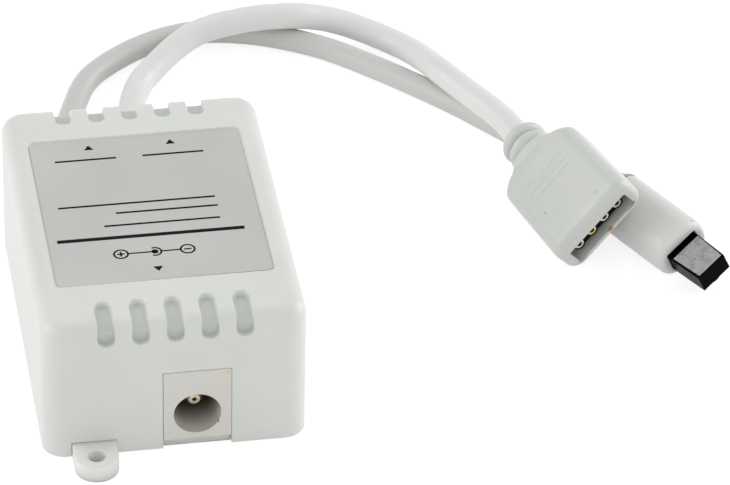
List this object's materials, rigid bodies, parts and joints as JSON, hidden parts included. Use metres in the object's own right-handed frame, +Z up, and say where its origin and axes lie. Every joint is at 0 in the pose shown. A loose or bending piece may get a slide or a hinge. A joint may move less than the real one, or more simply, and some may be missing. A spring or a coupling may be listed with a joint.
{
  "type": "led strip controller",
  "caption": "Small white plastic control box for a strip of lights, with a barrel power socket, fixing ears, a cable to a flat four way socket and a cable to an infrared receiver head.",
  "frame": {"origin": "middle of the case's underside, on the surface that it stands on", "axes": "+Z up; +Y along the case to the end that the cables leave, so the power socket faces -Y; +X to the right seen from the power socket"},
  "size_m": [0.0975, 0.1014, 0.0209],
  "materials": {
    "cover_plastic": "moulded, very fine texture, satin",
    "base_plastic": "moulded, satin",
    "socket_plastic": "moulded, slightly warm white, satin",
    "label_foil": "brushed silver grey foil with black marks",
    "board": "glass cloth laminate with green solder mask",
    "tinned_metal": "tinned metal",
    "spring_metal": "nickel plated phosphor bronze",
    "black_resin": "moulded black resin",
    "capacitor_sleeve": "dark shrunk sleeve",
    "ceramic": "fired ceramic with tinned ends",
    "cable_jacket": "soft white PVC jacket",
    "receiver_cable_jacket": "soft greyish white PVC jacket",
    "wire_insulation": "PVC insulation in several colours",
    "tie_nylon": "nylon",
    "connector_plastic": "overmoulded white PVC, satin",
    "receiver_head_plastic": "overmoulded greyish white PVC, satin",
    "insert_plastic": "black moulded insert",
    "contact_gold": "gold flashed brass",
    "receiver_resin": "black infrared resin, glossy",
    "receiver_shield": "dull speckled grey"
  },
  "bodies": {
    "base": {"base_plate": "base_plastic", "circuit_board": "board", "dc_jack_body": "socket_plastic", "dc_jack_centre_pin": "tinned_metal", "dc_jack_spring_terminal": "spring_metal", "dc_jack_switch_terminal": "spring_metal", "microcontroller": "black_resin", "memory_chip": "black_resin", "chip_leads": "tinned_metal", "output_transistors": "black_resin", "transistor_tabs": "tinned_metal", "voltage_regulator": "black_resin", "input_capacitor": "capacitor_sleeve", "filter_capacitor": "capacitor_sleeve", "capacitor_leads": "tinned_metal", "protection_diode": "black_resin", "chip_resistors": "black_resin", "chip_capacitors": "ceramic", "solder_joints": "tinned_metal", "strip_cable": "cable_jacket", "strip_cable_inner_end": "cable_jacket", "strip_cable_wires": "wire_insulation", "strip_cable_tie": "tie_nylon", "ir_cable": "receiver_cable_jacket", "ir_cable_inner_end": "receiver_cable_jacket", "ir_cable_wires": "wire_insulation", "ir_cable_tie": "tie_nylon", "strip_connector_body": "connector_plastic", "strip_socket_insert": "insert_plastic", "strip_socket_contacts": "contact_gold", "strip_connector_wires": "wire_insulation", "ir_head_body": "receiver_head_plastic", "ir_receiver": "receiver_resin", "ir_receiver_face": "receiver_shield", "ir_receiver_legs": "tinned_metal", "ir_head_wires": "wire_insulation"},
    "cover": {"upper_case": "cover_plastic", "rating_label": "label_foil"},
    "contact_spring": {"dc_jack_leaf_spring": "spring_metal"}
  },
  "joints": [
    {"name": "cover_lift", "type": "slide", "parent": "base", "child": "cover", "axis": [0, 0, 1], "range_m": [0, 0.03]},
    {"name": "socket_contact_flex", "type": "hinge", "parent": "base", "child": "contact_spring", "pos_m": [0.0028, -0.01435, 0.01], "axis": [-1, 0, 0], "range_deg": [0, 5], "stiffness_Nm_per_rad": 0.02}
  ]
}
